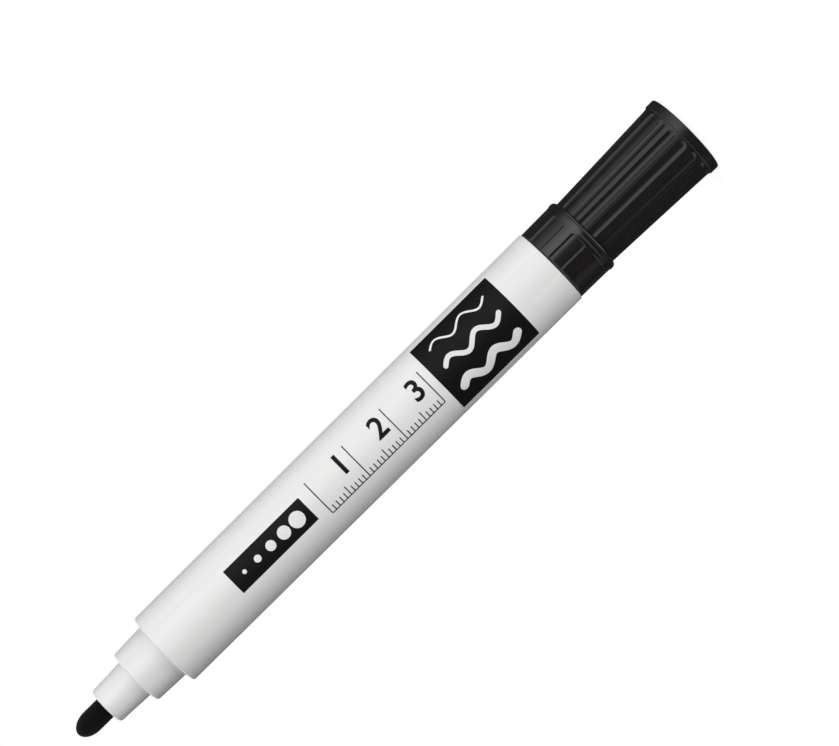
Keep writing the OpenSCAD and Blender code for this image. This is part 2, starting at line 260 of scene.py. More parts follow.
class PrintSizes(bpy.types.PropertyGroup):
    ink: length("Ink", "Height of one layer of ink", 0.02)
    line: length("Line", "Width of the scale's lines", 0.22)
    scale_start: length("Scale start", "Distance from the front shoulder to the scale's first mark", 41.6)
    scale_base: length("Scale base", "Distance of the scale's base line from the print's middle", -4.2)
    marks: count("Marks", "Number of marks on the millimetre scale", 31)
    mark_short: length("Short mark", "Length of a millimetre mark", 1.3)
    mark_middle: length("Middle mark", "Length of a five-millimetre mark", 2.1)
    mark_long: length("Long mark", "Length of a ten-millimetre mark", 8.1)
    digit_h: length("Digit", "Height of the scale's numbers", 4.4)
    digit_back: length("Digit setback", "Distance from a long mark back to its number's middle", 2.6)
    digit_base: length("Digit base", "Distance of the numbers' feet from the print's middle", -0.6)
    block_start: length("Block start", "Distance from the front shoulder to the black block", 73.4)
    block_length: length("Block length", "Length of the black block along the barrel", 20.25)
    block_low: length("Block low edge", "Distance of the block's lower edge from the print's middle", -9.13)
    block_high: length("Block high edge", "Distance of the block's upper edge from the print's middle", 8.87)
    bar_start: length("Bar start", "Distance from the front shoulder to the black bar", 18.9)
    bar_length: length("Bar length", "Length of the black bar", 20.0)
    bar_low: length("Bar low edge", "Distance of the bar's lower edge from the print's middle", -3.1)
    bar_high: length("Bar high edge", "Distance of the bar's upper edge from the print's middle", 2.65)
    corner: length("Corners", "Radius of the corners of the bar and the block", 0.05)
    dot_count: count("Dots", "Number of dots in the bar", 5)
    dot_start: length("First dot", "Distance from the bar's start to the first dot", 3.0)
    dot_pitch: length("Dot pitch", "Distance from one dot to the next", 3.5)
    dot_r: length("Dot", "Radius of the first dot", 0.45)
    dot_growth: length("Dot growth", "How much larger each dot's radius is", 0.3)
    stroke_gap: length("Stroke gap", "Distance from the block's ends to the strokes", 3.0)
    wave_height: length("Wave height", "Height of the strokes' waves", 1.0)
    wave_length: length("Wave length", "Length of one wave", 7.0)


class Colours(bpy.types.PropertyGroup):
    white_plastic: tint("White plastic", "Colour of the barrel", "#F1F1F0")
    black_plastic: tint("Black plastic", "Colour of the cap and the tail plug", "#1A1719")
    liner: tint("Inner cap", "Colour of the inner cap", "#E6E5DF")
    felt: tint("Felt", "Colour of the inked nib", "#090808")
    black_ink: tint("Black ink", "Colour of the black print", "#0A090A")
    white_ink: tint("White ink", "Colour of the white print on black", "#F0F0F0")
    reservoir: tint("Reservoir", "Colour of the inked fibre inside", "#26262A")
    film: tint("Film", "Colour of the film round the reservoir", "#D9DEE1")


class StudioSettings(bpy.types.PropertyGroup):
    lens: amount("Lens", "Focal length of the camera, in millimetres", 145.9)
    distance: length("Distance", "Distance from the camera to the marker's axis", 653.0)
    eye_z: length("Eye height", "Height of the camera above the floor", 81.3)
    aim_z: length("Aim height", "Height of the point that the camera looks at", 68.83)
    aim_x: length("Aim offset", "Distance of that point from the marker's axis", 3.23)
    roll: angle("Lean", "Angle in the view from level to the way the nib points", 224.73)
    key: amount("Key light", "Brightness of the large softbox", 1.78)
    fill: amount("Fill light", "Brightness of the narrow softbox", 0.16)
    top: amount("Top light", "Brightness of the overhead softbox", 1.7)
    low: amount("Low light", "Brightness of the softbox under the table", 1.55)
    rear: amount("Rear light", "Brightness of the rear softbox", 1.6)
    ambient: share("Ambient", "Brightness of the room for diffuse light", 0.015)
    drape: share("Drapes", "Brightness of the dark drapes that gloss sees", 0.05)
    clean: share("Clean floor", "How much plain white is added to the floor's look", 0.6)


class MarkerSettings(bpy.types.PropertyGroup):
    barrel: PointerProperty(type=BarrelSizes)
    plug: PointerProperty(type=PlugSizes)
    cap: PointerProperty(type=CapSizes)
    liner: PointerProperty(type=LinerSizes)
    nib: PointerProperty(type=NibSizes)
    ink: PointerProperty(type=PrintSizes)
    colours: PointerProperty(type=Colours)
    studio: PointerProperty(type=StudioSettings)


# ---------------------------------------------------------------- node trees

def add(tree, kind, inputs=None, **settings):
    """Adds a node. Settings are its attributes; inputs maps sockets to values or to other nodes' outputs."""
    made = tree.nodes.new(kind)
    for name, value in settings.items():
        setattr(made, name, value)
    for name, value in (inputs or {}).items():
        if isinstance(value, bpy.types.NodeSocket):
            tree.links.new(value, made.inputs[name])
        else:
            made.inputs[name].default_value = value
    return made


def geometry_tree(name, sockets):
    """A new geometry tree with a geometry in and out and the named inputs given as (name, type)."""
    tree = bpy.data.node_groups.new(name, "GeometryNodeTree")
    tree.interface.new_socket("Geometry", in_out="INPUT", socket_type="NodeSocketGeometry")
    for label, kind in sockets:
        tree.interface.new_socket(label, in_out="INPUT", socket_type="NodeSocket" + kind)
    tree.interface.new_socket("Geometry", in_out="OUTPUT", socket_type="NodeSocketGeometry")
    return tree, add(tree, "NodeGroupInput").outputs


def close_tree(tree, geometry, finish):
    """Ends a tree in Realize Instances, a weld and Set Material."""
    real = add(tree, "GeometryNodeRealizeInstances", {"Geometry": geometry})
    welded = add(tree, "GeometryNodeMergeByDistance", {"Geometry": real.outputs[0], "Distance": WELD})
    smooth = add(tree, "GeometryNodeSetShadeSmooth", {"Geometry": welded.outputs[0]})
    dressed = add(tree, "GeometryNodeSetMaterial", {"Geometry": smooth.outputs[0], "Material": finish})
    add(tree, "NodeGroupOutput", {"Geometry": dressed.outputs[0]})


def ring_tree():
    """Repeats one sector of a turned piece round the axis."""
    known = bpy.data.node_groups.get("ring of sectors")
    if known:
        return known
    tree, given = geometry_tree(
        "ring of sectors", [("Sectors", "Int"), ("Turn", "Float"), ("Finish", "Material")])
    points = add(tree, "GeometryNodePoints", {"Count": given["Sectors"]})
    index = add(tree, "GeometryNodeInputIndex")
    pitch = add(tree, "ShaderNodeMath", {0: TURN, 1: given["Sectors"]}, operation="DIVIDE")
    spin = add(tree, "ShaderNodeMath", {0: index.outputs[0], 1: pitch.outputs[0], 2: given["Turn"]},
               operation="MULTIPLY_ADD")
    facing = add(tree, "ShaderNodeCombineXYZ", {"Z": spin.outputs[0]})
    ring = add(tree, "GeometryNodeInstanceOnPoints", {
        "Points": points.outputs[0], "Instance": given["Geometry"], "Rotation": facing.outputs[0]})
    close_tree(tree, ring.outputs[0], given["Finish"])
    return tree


def scale_tree():
    """A straight millimetre scale: short marks with a longer one at each fifth and tenth."""
    tree, given = geometry_tree("millimetre scale", [
        ("Marks", "Int"), ("Pitch", "Float"), ("Line", "Float"), ("Short", "Float"),
        ("Middle", "Float"), ("Long", "Float"), ("Finish", "Material")])
    step = add(tree, "ShaderNodeCombineXYZ", {"X": given["Pitch"]})
    row = add(tree, "GeometryNodeMeshLine", {"Count": given["Marks"], "Offset": step.outputs[0]},
              mode="OFFSET")
    mark = add(tree, "GeometryNodeMeshGrid", {"Size X": 1.0, "Size Y": 1.0, "Vertices X": 2, "Vertices Y": 2})
    stood = add(tree, "GeometryNodeTransform", {
        "Geometry": mark.outputs["Mesh"], "Translation": (0.0, 0.5, 0.0)})
    index = add(tree, "GeometryNodeInputIndex").outputs[0]
    height = given["Short"]
    for every, chosen in ((5, given["Middle"]), (10, given["Long"])):
        left_over = add(tree, "ShaderNodeMath", {0: index, 1: float(every)}, operation="MODULO")
        is_mark = add(tree, "ShaderNodeMath", {0: left_over.outputs[0], 1: 0.5}, operation="LESS_THAN")
        pick = add(tree, "GeometryNodeSwitch", {"Switch": is_mark.outputs[0]}, input_type="FLOAT")
        tree.links.new(height, pick.inputs["False"])
        tree.links.new(chosen, pick.inputs["True"])
        height = pick.outputs[0]
    size = add(tree, "ShaderNodeCombineXYZ", {"X": given["Line"], "Y": height, "Z": 1.0})
    marks = add(tree, "GeometryNodeInstanceOnPoints", {
        "Points": row.outputs[0], "Instance": stood.outputs[0], "Scale": size.outputs[0]})
    close_tree(tree, marks.outputs[0], given["Finish"])
    return tree


def run_tree(context, piece, tree, values):
    """Runs a geometry tree on a piece with the named values and leaves a plain mesh behind."""
    modifier = piece.modifiers.new(tree.name, "NODES")
    modifier.node_group = tree
    for item in tree.interface.items_tree:
        if item.in_out == "INPUT" and item.name in values:
            modifier[item.identifier] = values[item.name]
    made = piece.evaluated_get(context.evaluated_depsgraph_get())
    mesh = bpy.data.meshes.new_from_object(made)
    piece.modifiers.remove(modifier)
    piece.data = mesh
    mesh.name = piece.name


# ---------------------------------------------------------------- outlines and turned pieces

def arc(centre_r, centre_z, radius, start, end, steps=8):
    """Points along an arc in the (radius, height) plane, with the angles in degrees."""
    turns = [math.radians(t) for t in steps_between(start, end, steps)]
    return [(centre_r + radius * math.cos(t), centre_z + radius * math.sin(t)) for t in turns]


def held(points):
    """Adds a point just inside both ends of each long straight stretch, so that flats shade as flats."""
    out = [points[0]]
    for (r0, z0), (r1, z1) in zip(points, points[1:]):
        reach = math.hypot(r1 - r0, z1 - z0)
        if reach > LONG_FLAT:
            for t in (EDGE_MARGIN / reach, 1 - EDGE_MARGIN / reach):
                out.append((r0 + (r1 - r0) * t, z0 + (z1 - z0) * t))
        out.append((r1, z1))
    return out


def round_rows(points):
    """Rows that are the same all round."""
    return [lambda turn, point=point: point for point in held(points)]


def rows_at(radius, heights):
    """Rows whose radius depends on the angle and the height."""
    return [lambda turn, z=z: (radius(turn, z), z) for z in heights]


def steps_between(start, end, count_of_steps):
    """Evenly spaced values from start to end, both included."""
    return [start + (end - start) * i / count_of_steps for i in range(count_of_steps + 1)]


def cone_r(z, z0, r0, z1, r1):
    """Radius of a cone at height z, from r0 at z0 to r1 at z1."""
    return r0 + (r1 - r0) * (z - z0) / (z1 - z0)


def rib(turn, number, radius, width, soft):
    """1 on a rib and 0 off it, for a number of ribs round the axis; its flanks are soft wide."""
    pitch = TURN / number
    away = abs((turn + pitch / 2) % pitch - pitch / 2) * radius
    return min(max((width / 2 + soft / 2 - away) / soft, 0.0), 1.0)


def blended_low(a, b, width):
    """The lower of two heights, rounded where they cross."""
    near = max(width - abs(a - b), 0.0) / width
    return min(a, b) - near * near * width / 4


def face_outwards(mesh):
    """Turns all faces of a closed mesh outwards and drops faces that have no area."""
    work = bmesh.new()
    work.from_mesh(mesh)
    bmesh.ops.dissolve_degenerate(work, dist=WELD, edges=work.edges)
    bmesh.ops.recalc_face_normals(work, faces=work.faces)
    work.to_mesh(mesh)
    work.free()


def linked(context, name, data):
    """A new object in the scene for a mesh, a lamp, a camera or a text."""
    thing = bpy.data.objects.new(name, data)
    context.scene.collection.objects.link(thing)
    return thing


def dressed_object(context, name, work, finish):
    """A new object that holds a bmesh's faces, in one material."""
    mesh = bpy.data.meshes.new(name)
    work.to_mesh(mesh)
    work.free()
    mesh.materials.append(finish)
    return linked(context, name, mesh)


def turned_piece(context, name, rows, sectors, columns, finish, turn=0.0, closed=False):
    """A piece made of equal sectors round the axis. Each row maps an angle to a (radius, height)."""
    turns = steps_between(0, TURN / sectors, columns)
    points = []
    for row in rows:
        for t in turns:
            r, z = row(t)
            points.append((r * math.cos(t), r * math.sin(t), z))
    width = columns + 1
    last = len(rows) if closed else len(rows) - 1
    faces = []
    for i in range(last):
        low, high = i * width, (i + 1) % len(rows) * width
        faces += [(low + c, low + c + 1, high + c + 1, high + c) for c in range(columns)]
    mesh = bpy.data.meshes.new(name)
    mesh.from_pydata(points, [], faces)
    piece = linked(context, name, mesh)
    run_tree(context, piece, ring_tree(), {"Sectors": sectors, "Turn": turn, "Finish": finish})
    face_outwards(piece.data)
    return piece


def put_on(piece, body, slot, *nodes):
    """Lets a piece ride on a body, in place of CAD nodes. Its slot is not used."""
    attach(piece, body)
    if nodes:
        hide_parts(*nodes)


# ---------------------------------------------------------------- materials

def blank_material(name):
    """A material with an empty node tree."""
    material = bpy.data.materials.new(name)
    material.use_nodes = True
    material.node_tree.nodes.clear()
    return material, material.node_tree


def new_material(name, **sockets):
    """A material with one Principled shader and the constants given for its sockets."""
    material, tree = blank_material(name)
    constants = {socket.replace("_", " "): value for socket, value in sockets.items()}
    shader = add(tree, "ShaderNodeBsdfPrincipled", constants)
    add(tree, "ShaderNodeOutputMaterial", {"Surface": shader.outputs[0]})
    place = add(tree, "ShaderNodeTexCoord").outputs["Object"]
    return material, tree, shader, place


def wear(tree, shader, colour, roughness, relief, strength, depth_mm):
    """Gives a Principled shader its colour, its roughness and a fine relief."""
    bump = add(tree, "ShaderNodeBump", {"Height": relief, "Strength": strength, "Distance": depth_mm * MM})
    tree.links.new(colour, shader.inputs["Base Color"])
    tree.links.new(roughness, shader.inputs["Roughness"])
    tree.links.new(bump.outputs[0], shader.inputs["Normal"])


def grain(tree, place, size_mm, detail=2.0, stretch=(1.0, 1.0, 1.0)):
    """Noise whose lumps are about size_mm across; stretch makes them longer along an axis."""
    shaped = add(tree, "ShaderNodeMapping", {"Vector": place, "Scale": tuple(1 / s for s in stretch)})
    lumps = add(tree, "ShaderNodeTexNoise", {
        "Vector": shaped.outputs[0], "Scale": 1 / (size_mm * MM), "Detail": detail, "Roughness": 0.5})
    return lumps.outputs[0]


def spread(tree, value, low, high):
    """Maps the middle of a noise's range to low and high."""
    return add(tree, "ShaderNodeMapRange", {
        "Value": value, "From Min": 0.3, "From Max": 0.7, "To Min": low, "To Max": high}).outputs[0]


def shade_of(tree, value, colour, low, high):
    """A colour made darker and lighter by a pattern, from low to high times itself."""
    factor = spread(tree, value, low, high)
    scaled = add(tree, "ShaderNodeVectorMath", {0: tuple(colour), "Scale": factor}, operation="SCALE")
    return scaled.outputs[0]


def white_polypropylene(colour):
    """Injection-moulded polypropylene, filled white: a soft satin gloss with a very faint orange peel."""
    material, tree, shader, place = new_material("white moulded polypropylene", IOR=1.49)
    peel = grain(tree, place, 0.9)
    haze = grain(tree, place, 6.0)
    wear(tree, shader, shade_of(tree, haze, colour, 0.985, 1.0), spread(tree, peel, 0.36, 0.44),
         peel, 0.12, 0.01)
    return material


def black_polypropylene(name, colour, low, high, gloss):
    """Injection-moulded polypropylene, carbon black. The mould's finish sets the roughness and the gloss."""
    material, tree, shader, place = new_material(name, IOR=1.49, Specular_IOR_Level=gloss)
    # A spark-eroded mould leaves grains of 20 to 50 micrometres; they are drawn coarser so that they show
    stipple = grain(tree, place, 0.16)
    flow = grain(tree, place, 1.2, stretch=(1.0, 1.0, 6.0))
    wear(tree, shader, shade_of(tree, flow, colour, 0.94, 1.06), spread(tree, stipple, low, high),
         stipple, 0.25, 0.008)
    return material


def natural_polyethylene(colour):
    """Natural low-density polyethylene: milky and waxy, soft enough to seal on the nose."""
    material, tree, shader, place = new_material(
        "natural polyethylene", IOR=1.51, Subsurface_Weight=0.15, Subsurface_Scale=0.8 * MM)
    cloud = grain(tree, place, 2.0)
    wear(tree, shader, shade_of(tree, cloud, colour, 0.96, 1.0), spread(tree, cloud, 0.42, 0.52),
         cloud, 0.2, 0.01)
    return material


def inked_felt(colour):
    """Bonded acrylic fibre, pressed and ground to a bullet, soaked in black ink: matt and slightly fuzzy."""
    material, tree, shader, place = new_material(
        "inked acrylic felt", IOR=1.45, Specular_IOR_Level=0.12, Sheen_Weight=0.05, Sheen_Roughness=0.6)
    # Real fibres are 20 to 30 micrometres thick; they are drawn as bundles so that they show
    fibres = grain(tree, place, 0.14, detail=3.0, stretch=(1.0, 1.0, 5.0))
    tufts = grain(tree, place, 0.4)
    both = add(tree, "ShaderNodeMath", {0: fibres, 1: 0.6, 2: tufts}, operation="MULTIPLY_ADD")
    wear(tree, shader, shade_of(tree, fibres, colour, 0.5, 1.5), spread(tree, tufts, 0.8, 0.95),
         both.outputs[0], 0.7, 0.05)
    return material


def screen_ink(name, colour, gloss):
    """Screen-printed ink, cured: a little mottled, with a wide, weak gloss that its pigment breaks up."""
    material, tree, shader, place = new_material(name, IOR=1.5, Specular_IOR_Level=gloss)
    mottle = grain(tree, place, 0.25, detail=3.0)
    wear(tree, shader, shade_of(tree, mottle, colour, 0.92, 1.05), spread(tree, mottle, 0.55, 0.65),
         mottle, 0.2, 0.004)
    return material


def inked_fibre(colour):
    """Drawn polyester fibre, bundled along the axis and soaked in ink."""
    material, tree, shader, place = new_material("inked polyester fibre", IOR=1.55, Sheen_Weight=0.2)
    strands = grain(tree, place, 0.25, detail=3.0, stretch=(1.0, 1.0, 40.0))
    wear(tree, shader, shade_of(tree, strands, colour, 0.6, 1.4), spread(tree, strands, 0.7, 0.9),
         strands, 0.6, 0.05)
    return material


def clear_film(colour):
    """Thin extruded polypropylene film, wrapped round the fibre: shiny, with faint lengthways lines."""
    material, tree, shader, place = new_material("extruded polypropylene film", IOR=1.49)
    lines = grain(tree, place, 0.3, stretch=(1.0, 1.0, 60.0))
    wear(tree, shader, shade_of(tree, lines, colour, 0.95, 1.0), spread(tree, lines, 0.12, 0.2),
         lines, 0.2, 0.01)
    return material


# ---------------------------------------------------------------- barrel

def barrel_rows(s):
    """Rows from the rear rim over the outside to the nose, then back through the bore."""
    z_step = Z_NOSE - s.step_2_h
    z_front = z_step - s.step_1_h
    z_inside = z_front - s.front_wall
    z_wall = z_step - s.nose_wall
    nib_bore_r = NIB_R + s.nib_gap
    outside = [(s.bore_r + s.bore_lead, Z_RIM)]
    outside += arc(REAR_R - s.rim_edge, Z_RIM + s.rim_edge, s.rim_edge, -90, 0, 5)
    outside += arc(s.front_r - s.shoulder_edge, z_front - s.shoulder_edge, s.shoulder_edge, 0, 90, 12)
    for foot_r, end_r, edge, z_foot, z_end in (
        (s.step_1_foot_r, s.step_1_end_r, s.step_1_edge, z_front, z_step),
        (s.step_2_foot_r, s.step_2_end_r, s.step_2_edge, z_step, Z_NOSE),
    ):
        outside += arc(foot_r + s.foot_fillet, z_foot + s.foot_fillet, s.foot_fillet, 270, 180, 5)
        outside += arc(end_r - edge, z_end - edge, edge, 0, 90, 12)

    def nib_hole(turn, z):
        return nib_bore_r - s.nib_gap * rib(turn, s.nib_rib_count, nib_bore_r, s.nib_rib_w, s.nib_flank)

    def ribbed(bore_r):
        def radius(turn, z):
            return bore_r + (s.rib_tip_r - bore_r) * rib(turn, s.rib_count, s.rib_tip_r, s.rib_w, s.flank)
        return radius

    z_ribs = Z_SLEEVE_END + s.rib_start
    rows = round_rows(outside)
    rows += rows_at(nib_hole, (Z_NOSE, Z_NOSE - EDGE_MARGIN, z_wall + EDGE_MARGIN, z_wall))
    rows += round_rows([(s.nose_bore_r, z_wall), (s.nose_bore_r, z_inside)])
    rows += rows_at(ribbed(s.bore_front_r), (z_inside, z_inside - EDGE_MARGIN))
    rows += rows_at(ribbed(s.bore_r), (z_ribs + EDGE_MARGIN, z_ribs))
    rows += round_rows([(s.bore_r, z_ribs), (s.bore_r, Z_RIM + s.bore_lead)])
    return rows


class MARKER_OT_barrel(bpy.types.Operator):
    """Build the white barrel with its two-step nose"""

    bl_idname = "marker.barrel"
    bl_label = "Barrel"

    def execute(self, context):
        settings = context.scene.marker
        finish = white_polypropylene(settings.colours.white_plastic)
        rows = barrel_rows(settings.barrel)
        piece = turned_piece(context, "barrel_moulding", rows, 4, 64, finish, closed=True)
        put_on(piece, "marker", "barrel", "barrel")
        return {"FINISHED"}


# ---------------------------------------------------------------- nib

def nib_rows(s):
    """Rows from the hidden tail to the tip, with a fine relief along the fibres."""
    z_point = Z_TIP - s.point
    rows = round_rows([(0.0, Z_NIB_TAIL), (NIB_R - s.tail_drop, Z_NIB_TAIL), (NIB_R, Z_NIB_TAIL + s.tail)])
    straight = [(NIB_R, z) for z in steps_between(Z_TIP - s.rough_h, z_point, 60)]
    dome = [(NIB_R * math.cos(t), z_point + s.point * math.sin(t))
            for t in steps_between(0, math.pi / 2, 48)[1:]]

    def relief(turn, point):
        """Moves a point in or out by noise drawn out four times along the axis, faded out at the tip."""
        r, z = point
        place = Vector((r * math.cos(turn), r * math.sin(turn), z / 4)) / s.fibre
        lift = s.fuzz * (noise.noise(place) - 0.5) * min(r / (NIB_R / 4), 1.0)
        return r + lift, z

    rows += [lambda turn, point=point: relief(turn, point) for point in straight + dome]
    return rows


class MARKER_OT_nib(bpy.types.Operator):
    """Build the felt nib"""

    bl_idname = "marker.nib"
    bl_label = "Nib"

    def execute(self, context):
        settings = context.scene.marker
        finish = inked_felt(settings.colours.felt)
        piece = turned_piece(context, "felt_nib", nib_rows(settings.nib), 1, 160, finish)
        put_on(piece, "marker", "nib", "nib")
        return {"FINISHED"}


# ---------------------------------------------------------------- tail plug

def panel_rows(s, z_skirt):
    """Rows down the skirt, with a sunk panel in each pitch: round at its far corners, open at the rim."""
    pitch = TURN / s.panel_count
    z_end = z_skirt + s.panel_gap
    half_w = s.skirt_top_r * math.sin(s.panel_angle / 2)
    inset = s.panel_corner

    def surface(turn, z):
        r = cone_r(z, z_skirt, s.skirt_top_r, Z_RIM, s.skirt_rim_r)
        across = abs((turn + pitch / 2) % pitch - pitch / 2) * s.skirt_top_r
        beyond_side = across - (half_w - inset)
        # The end wall is this many times steeper than the side walls
        beyond_end = (z_end - z) * 3 + inset
        outside = math.hypot(max(beyond_side, 0.0), max(beyond_end, 0.0))
        depth_in = inset - outside - min(max(beyond_side, beyond_end), 0.0)
        sunk = min(max(depth_in / s.panel_wall, 0.0), 1.0)
        return r - s.panel_depth * sunk * sunk * (3 - 2 * sunk)

    # Rows lie closer together over the panels' far ends
    z_fine = z_end + 1.6 * MM
    fine = steps_between(z_end - 0.1 * MM, z_fine, 34)
    return rows_at(surface, [z_skirt] + fine + steps_between(z_fine, Z_RIM, 6)[1:])


def fin_rows(s):
    """Rows from the sleeve's end into its bore, with the fins that stand in from the wall."""
    z_start = Z_RIM + s.fin_start
    z_fin_end = Z_SLEEVE_END + s.fin_reach
    bore_r = s.sleeve_bore_r
    fin_r = bore_r - s.fin_inset
    # Between the fins the rows lie this far apart, so that every face has an area
    off = 0.1 * MM

    def row(on_fin, off_fin):
        def place(turn):
            fin = rib(turn, s.fin_count, bore_r, s.fin_w, s.fin_flank)
            return tuple(b + (a - b) * fin for a, b in zip(on_fin, off_fin))
        return place

    return [
        row((bore_r, Z_SLEEVE_END), (bore_r, Z_SLEEVE_END)),
        row((fin_r, Z_SLEEVE_END), (bore_r, Z_SLEEVE_END - off)),
        row((fin_r, z_fin_end), (bore_r, Z_SLEEVE_END - 2 * off)),
        row((s.fin_inner_r, z_fin_end), (bore_r, Z_SLEEVE_END - 3 * off)),
        row((s.fin_inner_r, z_start), (bore_r, z_start + off)),
        row((bore_r, z_start), (bore_r, z_start)),
    ]


def plug_rows(s):
    """Rows from the post's closed end over the shoulder, skirt and sleeve, then back through the bore."""
    z_bead = Z_MOUTH + s.shoulder_round + s.bead_h
    z_skirt = z_bead + s.bead_blend
    post = [(0.0, Z_POST)]
    post += arc(s.post_end_r - s.post_edge, Z_POST + s.post_edge, s.post_edge, -90, 0)
    post += [(s.post_foot_r, Z_MOUTH)]
    post += arc(SHOULDER_R - s.shoulder_round, Z_MOUTH + s.shoulder_round, s.shoulder_round, -90, 0, 16)
    drop = SHOULDER_R - s.skirt_top_r
    bead = [(s.skirt_top_r + drop * (1 + math.cos(math.pi * t)) / 2, z_bead + s.bead_blend * t)
            for t in steps_between(0, 1, 8)]
    band = Z_SLEEVE_END - s.sleeve_lead
    relief_r = s.sleeve_r - s.relief
    sleeve = [
        (s.sleeve_r, Z_RIM),
        (s.sleeve_r, Z_RIM + s.seal_h),
        (relief_r, Z_RIM + 1.5 * s.seal_h),
        (relief_r, band - 1.5 * s.seal_h),
        (s.sleeve_r, band - s.seal_h),
        (s.sleeve_r, band),
        (s.sleeve_r - s.lead_drop, Z_SLEEVE_END),
    ]
    post_bore_r = s.post_end_r - s.post_wall
    inside = [
        (s.sleeve_bore_r, Z_RIM + s.fin_start),
        (s.sleeve_bore_r, Z_MOUTH + s.shoulder_wall),
        (post_bore_r, Z_MOUTH - s.post_lead),
        (post_bore_r - s.post_draft, Z_POST + s.post_wall),
        (0.0, Z_POST + s.post_wall),
    ]
    return (round_rows(post + bead) + panel_rows(s, z_skirt) + round_rows(sleeve)
            + fin_rows(s) + round_rows(inside))


class MARKER_OT_tail_plug(bpy.types.Operator):
    """Build the tail plug with its sunk grip panels, its post and its sleeve"""

    bl_idname = "marker.tail_plug"
    bl_label = "Tail Plug"

    def execute(self, context):
        settings = context.scene.marker
        s = settings.plug
        black = settings.colours.black_plastic
        finish = black_polypropylene("glossy black polypropylene", black, 0.18, 0.26, 0.62)
        rows = plug_rows(s)
        piece = turned_piece(context, "tail_plug_moulding", rows, s.fin_count, 240, finish, turn=s.turn)
        put_on(piece, "marker", "plug", "tail_plug")
        return {"FINISHED"}


# ---------------------------------------------------------------- cap

def flute_wall(s):
    """The cap's outer radius at an angle and a height: a cone that ball-ended cutters have grooved."""
    pitch = TURN / s.flute_count
    z_ball = s.flange_h + s.flute_gap + math.sqrt(2 * s.flute_r * s.depth_root)
    ball_r = cone_r(z_ball, s.flange_h, s.root_r, Z_MOUTH, s.mouth_r) - s.depth_root + s.flute_r
    out_r = s.mouth_r - s.depth_mouth + s.flute_r

    def radius(turn, z):
        land_r = cone_r(z, s.flange_h, s.root_r, Z_MOUTH, s.mouth_r)
        cutter_r = s.flute_r
        if z < z_ball:
            cutter_r = math.sqrt(max(s.flute_r ** 2 - (z_ball - z) ** 2, 0.0))
        centre_r = cone_r(z, z_ball, ball_r, Z_MOUTH, out_r) if z > z_ball else ball_r
        away = turn % pitch - pitch / 2
        across = centre_r * math.sin(away)
        if abs(across) >= cutter_r:
            return land_r
        groove_r = centre_r * math.cos(away) - math.sqrt(cutter_r ** 2 - across ** 2)
        return blended_low(land_r, groove_r, s.flute_edge)

    return radius


def cap_rows(s):
    """Rows from the middle of the closed end over the outside to the mouth, then in to the inner floor."""
    wall = flute_wall(s)
    end = [
        (0.0, s.dimple_h - s.gate_h),
        (s.gate_r, s.dimple_h - s.gate_h),
        (s.gate_r, s.dimple_h),
        (s.dimple_r - s.dimple_h, s.dimple_h),
        (s.dimple_r, 0.0),
    ]
    end += arc(FLANGE_R - s.flange_edge, s.flange_edge, s.flange_edge, -90, 0, 8)
    end += arc(FLANGE_R - s.flange_lip, s.flange_h - s.flange_lip, s.flange_lip, 0, 90, 5)
    end += arc(s.root_r + s.root_fillet, s.flange_h + s.root_fillet, s.root_fillet, 270, 180, 5)
    z_lip = Z_MOUTH - s.mouth_edge
    # Rows lie closer together over the flutes' round ends
    z_fine = s.flange_h + 2.2 * MM
    heights = steps_between(s.flange_h + s.flute_gap - 0.1 * MM, z_fine, 30)
    heights += steps_between(z_fine, z_lip, 9)[1:]
    fluted = rows_at(wall, heights)
    for bend in steps_between(0, math.pi / 2, 6)[1:]:
        back, up = s.mouth_edge * (1 - math.cos(bend)), s.mouth_edge * math.sin(bend)
        fluted.append(lambda turn, back=back, up=up: (wall(turn, z_lip) - back, z_lip + up))

    z_bore = Z_MOUTH - s.bore_h
    z_grip = Z_MOUTH - s.rib_setback
    nose = bpy.context.scene.marker.barrel

    def gripped(turn, z):
        post_r = cone_r(z, Z_MOUTH - nose.step_1_h, nose.step_1_end_r, Z_MOUTH, nose.step_1_foot_r)
        tip_r = max(post_r, nose.step_1_end_r) + s.rib_play
        return s.bore_r + (tip_r - s.bore_r) * rib(turn, s.rib_count, s.bore_r, s.rib_w, s.rib_flank)

    mouth = round_rows([(s.bore_r + s.lead_r, Z_MOUTH), (s.bore_r, Z_MOUTH - s.lead_h), (s.bore_r, z_grip)])
    grips = rows_at(gripped, (z_grip, z_grip - s.rib_lead, Z_MOUTH - nose.step_1_h, z_bore))
    inside = round_rows([(s.seat_r, z_bore), (s.seat_r, s.end_wall), (0.0, s.end_wall)])
    return round_rows(end) + fluted + mouth + grips + inside


class MARKER_OT_cap_shell(bpy.types.Operator):
    """Build the fluted cap shell"""

    bl_idname = "marker.cap_shell"
    bl_label = "Cap Shell"

    def execute(self, context):
        settings = context.scene.marker
        s = settings.cap
        black = settings.colours.black_plastic
        finish = black_polypropylene("satin black polypropylene", black, 0.26, 0.36, 0.48)
        rows = cap_rows(s)
        # 36 columns to a flute, in sectors that hold one grip rib each
        columns = 36 * s.flute_count // s.rib_count
        piece = turned_piece(context, "cap_shell_moulding", rows, s.rib_count, columns, finish, turn=s.turn)
        put_on(piece, "cap", "cap", "cap_shell")
        return {"FINISHED"}


# ---------------------------------------------------------------- inner cap

